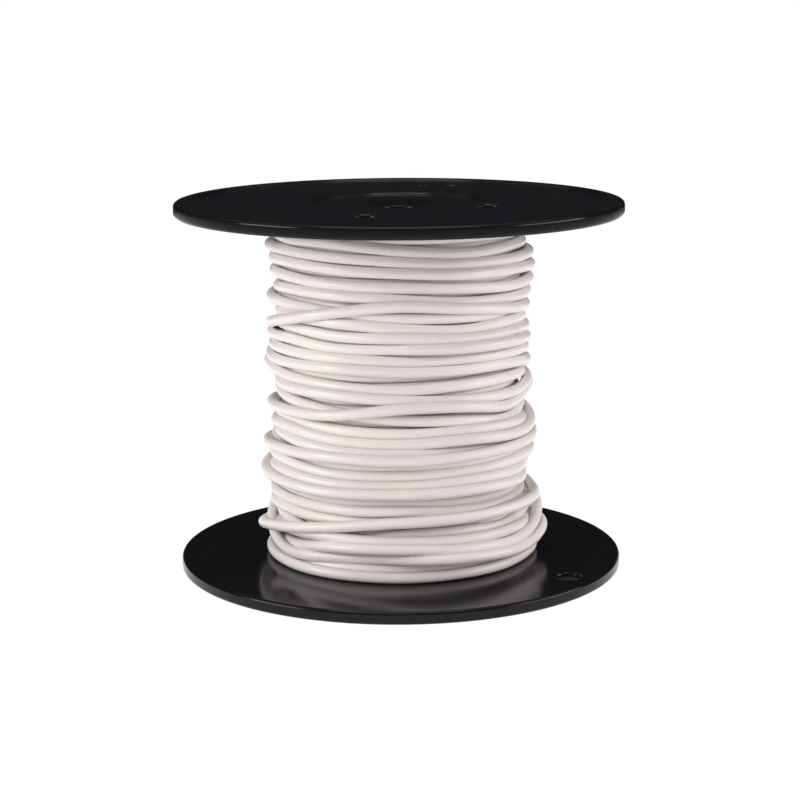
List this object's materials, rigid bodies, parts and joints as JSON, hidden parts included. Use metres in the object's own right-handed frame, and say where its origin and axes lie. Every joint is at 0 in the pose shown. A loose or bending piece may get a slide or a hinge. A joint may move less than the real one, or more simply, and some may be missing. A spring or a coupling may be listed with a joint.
{
  "type": "wire spool",
  "caption": "Plastic spool with round flanges on a hub barrel, wound with round insulated wire; turns on a rod through its central bore.",
  "frame": {"origin": "centre of the rim's crest circle under the lower flange, on the surface that the spool stands on", "axes": "+Z along the spindle bore from the lower flange to the upper flange; -Y is the side that the lower flange's tie hole is nearest to"},
  "size_m": [0.1142, 0.1142, 0.0946],
  "materials": {
    "flange_plastic": "glossy moulded black",
    "barrel_plastic": "moulded black",
    "insulation": "soft sheen off-white",
    "copper": "bright drawn copper"
  },
  "bodies": {
    "root": {"upper_flange": "flange_plastic", "lower_flange": "flange_plastic", "barrel": "barrel_plastic", "wire_inner_layers": "insulation", "wire_outer_turns": "insulation", "wire_start_end": "insulation", "wire_finish_end": "insulation", "copper_strands": "copper"}
  },
  "joints": []
}
